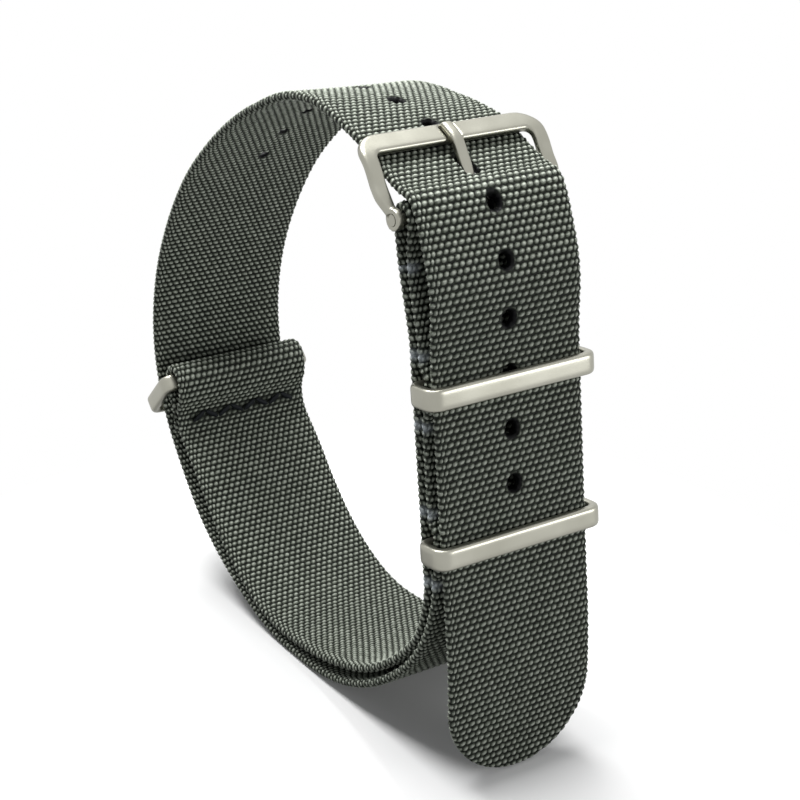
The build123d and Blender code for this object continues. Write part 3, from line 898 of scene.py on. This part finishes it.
@dataclass
class Straps:
    """Both straps, woven in lengths that meet under the buckle's bar and behind the loop."""

    drawing: StrapDrawing
    shift: float
    finish: bpy.types.Material
    holes_down: int = 6
    holes_up: int = 7
    hole_radius: float = 0.95
    hole_half_length: float = 1.1
    hole_inner_share: float = 0.6
    slot_half_width: float = 0.87
    slot_half_length: float = 2.5
    slot_melt_and_shade: float = 0.15
    slot_lip: float = 0.9
    eye_half_length: float = 2.6
    eye_melt_and_shade: float = 0.2
    loop_lengths: int = 3
    short_lengths: int = 2
    end_margin: float = 2.0
    roll: tuple = ((0.0, 0.0), (3.0, 0.15), (12.0, 0.95), (17.0, 0.75), (26.0, 0.0))

    def build(self) -> list[bpy.types.Object]:
        """Weaves every length and lays it on its body."""
        made = self._tail() + self._loop() + self._short()
        for piece in made:
            piece.data.materials.append(self.finish)
            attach(piece, Body.WEBBING.value)
            log.info("wove %s: %d faces", piece.name, len(piece.data.polygons))
        return made

    def _tail(self) -> list[bpy.types.Object]:
        """The tail, from its rounded tip to under the bar."""
        path = self.drawing.tail()
        tongue = path.length - self.drawing.hole_from_bar
        openings = [self._hole(tongue - self.drawing.tail_hole_pitch * k)
                    for k in range(1, self.holes_down + 1)]
        openings.append(Opening(tongue - self.drawing.slot_towards_pin, self.slot_half_width,
                                self.slot_half_length, self.slot_melt_and_shade, self.slot_lip))
        piece = WebbingStrip("tail_webbing", path, 0, path.length, self.shift,
                             openings=tuple(openings), rounded=True).build()
        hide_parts("long_strap")
        return [piece]

    def _loop(self) -> list[bpy.types.Object]:
        """The loop, from under the bar round to the weld below the pin."""
        path = self.drawing.loop()
        first, pitch = self.drawing.loop_first_hole, self.drawing.loop_hole_pitch
        holes = [self._hole(first + pitch * k) for k in range(self.holes_up)]
        eye = path.length - self._fold_back()
        holes.append(Opening(eye, self.slot_half_width, self.eye_half_length, self.eye_melt_and_shade))
        cuts = np.linspace(0, path.length, self.loop_lengths + 1)
        welds = self._weld_stations(path, self.drawing.welded)
        margin = self.end_margin
        made = []
        for k, (start, end) in enumerate(zip(cuts, cuts[1:])):
            inside = tuple(h for h in holes if start + margin < h.station < end - margin)
            made.append(WebbingStrip(f"loop_webbing_{k + 1}", path, start, end, self.shift,
                                     openings=inside, welds=welds, roll=self.roll).build())
        return made

    def _hole(self, station: float) -> Opening:
        """A punched hole."""
        return Opening(station, self.hole_radius, self.hole_half_length,
                       inner_share=self.hole_inner_share)

    def _fold_back(self) -> float:
        """How far the middle of the turn over the pin lies from the loop's end."""
        down = self.drawing.pin_above - self.drawing.first_weld
        return down + self.drawing.fold_radius * math.pi / 2

    def _weld_stations(self, path: SidePath, out: float) -> tuple[float, ...]:
        """Where the welds lie on a layer that is this far out from the wrist side."""
        first, *others = self.drawing.welds
        inwards = out - self.drawing.first_weld_inwards
        places = [(first, inwards)] + [(weld, out) for weld in others]
        return tuple(path.nearest(self.drawing.front(*place)) for place in places)

    def _short(self) -> list[bpy.types.Object]:
        """The short strap, from its first weld round the ring's bar."""
        path = self.drawing.short()
        cuts = np.linspace(0, path.length, self.short_lengths + 1)
        welds = self._weld_stations(path, 0.0)
        rows = (path.nearest(self.drawing.row), path.length - self.drawing.stitch_to_end)
        made = [WebbingStrip(f"short_webbing_{k + 1}", path, start, end, self.shift,
                             welds=welds, pressed=rows).build()
                for k, (start, end) in enumerate(zip(cuts, cuts[1:]))]
        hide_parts("short_strap")
        return made


@dataclass
class Seam:
    """The zigzag seam that closes the short strap's folded end."""

    drawing: StrapDrawing
    shift: float
    finish: bpy.types.Material
    count: int = 8
    row_width: float = 16.0
    row_height: float = 1.3
    thread: float = 0.34
    sunk: float = 0.22
    set_in: float = 0.02
    bead_share: float = 0.46

    def build(self) -> None:
        """Sews the wrist side and the hidden side."""
        side = left_of(self.drawing.row_ahead)
        out = self.drawing.half - self.set_in
        front = moved(self.drawing.row, side, out)
        back = moved(self.drawing.row, side, -self.drawing.contact - out)
        rows = (("needle_stitches", front, "seam_needle_thread", side),
                ("bobbin_stitches", back, "seam_bobbin_thread", (-side[0], -side[1])))
        for name, place, node, facing in rows:
            piece = self._row(name, place, facing)
            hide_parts(node)
            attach(piece, Body.WEBBING.value)
            log.info("sewed %s", name)

    def _row(self, name: str, place: Point, out: Point) -> bpy.types.Object:
        """One row of slanted stitches, each a stretched bead pulled in at its ends."""
        bm = bmesh.new()
        step = self.row_width / self.count
        length = math.hypot(step, self.row_height)
        up = self.drawing.row_ahead
        basis = Matrix(((1, 0, 0), (0, up[0], out[0]), (0, up[1], out[1]))).to_4x4()
        origin = Matrix.Translation(Vector((0, place[0] + self.shift, place[1])))
        for k in range(self.count):
            angle = math.atan2(self.row_height, step) * (1 if k % 2 == 0 else -1)
            x = -self.row_width / 2 + step * (k + 0.5)
            bead = bmesh.ops.create_uvsphere(bm, u_segments=16, v_segments=10, radius=1)
            turn = Matrix.Rotation(angle, 4, "Z") @ Matrix.Rotation(math.pi / 2, 4, "Y")
            shape = Matrix.Diagonal((self.sunk, self.thread, length * self.bead_share, 1))
            matrix = origin @ basis @ Matrix.Translation((x, 0, 0)) @ turn @ shape
            bmesh.ops.transform(bm, matrix=matrix, verts=bead["verts"])
        bmesh.ops.scale(bm, vec=(MM, MM, MM), verts=bm.verts[:])
        bmesh.ops.recalc_face_normals(bm, faces=bm.faces[:])
        mesh = to_mesh(bm, name)
        mesh.shade_smooth()
        mesh.materials.append(self.finish)
        return in_scene(name, mesh)


@dataclass
class Hardware:
    """The metal nodes in satin steel, some of them as softened castings.

    Args:
        nodes: the frame's nodes by name.
        finish: the steel.
        plain: the nodes that keep their own mesh.
        cast: each softened node, its body, and how often it is evened out.
        grid: the cell of a casting's mesh.
    """

    nodes: dict
    finish: bpy.types.Material
    plain: tuple[str, ...] = ("buckle_pin",)
    cast: tuple = (("buckle_frame", Body.BUCKLE, 10), ("buckle_tongue", Body.TONGUE, 8),
                   ("keeper_upper", Body.UPPER_KEEPER, 26),
                   ("keeper_lower", Body.LOWER_KEEPER, 26), ("end_ring", Body.RING, 34))
    grid: float = 0.13

    def dress(self) -> None:
        """Puts the steel on the plain nodes and casts the others."""
        for name in self.plain:
            node = self.nodes[name]
            node.data.materials.clear()
            node.data.materials.append(self.finish)
            log.info("dressed %s", name)
        for name, body, rounds in self.cast:
            self._cast(name, body, rounds)

    def _cast(self, name: str, body: Body, rounds: int) -> None:
        """Makes a softened casting in the place of one node."""
        node = self.nodes[name]
        mesh = node.data.copy()
        mesh.transform(node.matrix_world)
        mesh.materials.clear()
        mesh.materials.append(self.finish)
        piece = in_scene(f"{name}_casting", mesh)
        even = piece.modifiers.new("even", "REMESH")
        even.mode, even.voxel_size, even.use_smooth_shade = "VOXEL", self.grid * MM, True
        soft = piece.modifiers.new("soft", "SMOOTH")
        soft.factor, soft.iterations = 0.5, rounds
        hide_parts(name)
        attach(piece, body.value)
        log.info("cast %s", name)


@dataclass
class Studio:
    """Floor, lamps, world and camera, in metres.

    The floor fades to white between two distances from the middle.  Its tone is for bouncing
    light, and what the camera sees is paler.  A softbox is a name, place, size and power.
    """

    camera_place: tuple = (-0.11198, -0.18302, 0.1224)
    camera_look: tuple = (0.505, 0.7739, -0.3822)
    lens: float = 82.228
    floor_size: float = 1.2
    floor_drop: float = 0.00002
    floor_tone: float = 0.25
    floor_seen: float = 0.95
    fade_from: float = 0.035
    fade_to: float = 0.07
    least_fade: float = 0.03
    softboxes: tuple = (("overhead_softbox", (0.0, 0.16, 0.50), 0.36, 5.2),
                        ("low_softbox", (0.32, -0.47, 0.10), 0.20, 0.85))
    target: tuple = (0, 0, 0.04)
    fill: float = 0.21

    def build(self) -> None:
        """Sets everything round the object."""
        self._floor()
        for softbox in self.softboxes:
            self._lamp(*softbox)
        self._world()
        self._camera()

    def _floor(self) -> None:
        """A pale floor that keeps the object's shadow and fades to white."""
        bm = bmesh.new()
        bmesh.ops.create_circle(bm, cap_ends=True, segments=96, radius=self.floor_size)
        bmesh.ops.translate(bm, verts=bm.verts[:], vec=(0, 0, -self.floor_drop))
        mesh = to_mesh(bm, "floor")
        material, nodes, shader = new_material("white_sweep")
        nodes.put(shader, Roughness=0.8, Specular_IOR_Level=0.1)
        glow = nodes.add("ShaderNodeEmission")
        camera_ray = nodes.add("ShaderNodeLightPath").outputs["Is Camera Ray"]
        tone = nodes.mix(camera_ray, (self.floor_tone,) * 3, (self.floor_seen,) * 3)
        nodes.join(tone, shader.inputs["Base Color"])
        place = nodes.add("ShaderNodeTexCoord")
        far = nodes.add("ShaderNodeVectorMath", operation="LENGTH")
        nodes.join(place.outputs["Object"], far.inputs[0])
        fade = nodes.add("ShaderNodeMapRange", From_Min=self.fade_from, From_Max=self.fade_to,
                         To_Min=self.least_fade, To_Max=1.0)
        nodes.join(far.outputs["Value"], fade.inputs["Value"])
        mask = nodes.math("MULTIPLY", fade.outputs[0], nodes.seen())
        nodes.blend(mask, shader, glow, "Material Output")
        mesh.materials.append(material)
        in_scene("floor", mesh)

    def _lamp(self, name: str, place: tuple, size: float, power: float) -> None:
        """A square softbox that faces the target."""
        lamp = bpy.data.lights.new(name, "AREA")
        lamp.size, lamp.energy = size, power
        obj = in_scene(name, lamp)
        obj.location = place
        facing = Vector(self.target) - Vector(place)
        obj.rotation_euler = facing.to_track_quat("-Z", "Y").to_euler()

    def _world(self) -> None:
        """Soft fill light, and plain white for the camera and for reflections."""
        world = bpy.data.worlds.new("studio")
        world.use_nodes = True
        nodes = NodeTree(world.node_tree)
        fill = nodes.tree.nodes["Background"]
        nodes.put(fill, Color=(0.97, 0.98, 1.0, 1), Strength=self.fill)
        white = nodes.add("ShaderNodeBackground", Color=(1, 1, 1, 1), Strength=1.0)
        nodes.blend(nodes.seen(), fill, white, "World Output")
        bpy.context.scene.world = world

    def _camera(self) -> None:
        """The photograph's view."""
        camera = bpy.data.cameras.new("photo_view")
        camera.lens, camera.sensor_width = self.lens, 36.0
        camera.clip_start, camera.clip_end = 0.01, 10.0
        obj = in_scene("photo_view", camera)
        obj.location = self.camera_place
        obj.rotation_euler = Vector(self.camera_look).to_track_quat("-Z", "Y").to_euler()
        bpy.context.scene.camera = obj


def main() -> None:
    """Builds the dressed object."""
    logging.basicConfig(level=logging.INFO, format="%(message)s")
    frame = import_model()
    bpy.context.scene.view_settings.view_transform = "Standard"
    drawing = StrapDrawing()
    low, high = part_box("buckle_pin")
    shift = (low[1] + high[1]) / 2 / MM - drawing.pin[0]
    log.info("the drawing moves %.4f mm to the frame", shift)
    nylon = WebbingFinish("grey_green_nylon", pearl_group(Weave())).make()
    Straps(drawing, shift, nylon).build()
    Seam(drawing, shift, SewingThread("dark_thread").make()).build()
    Hardware(frame["nodes"], SatinSteel("satin_steel").make()).dress()
    Studio().build()


if __name__ == "__main__":
    main()
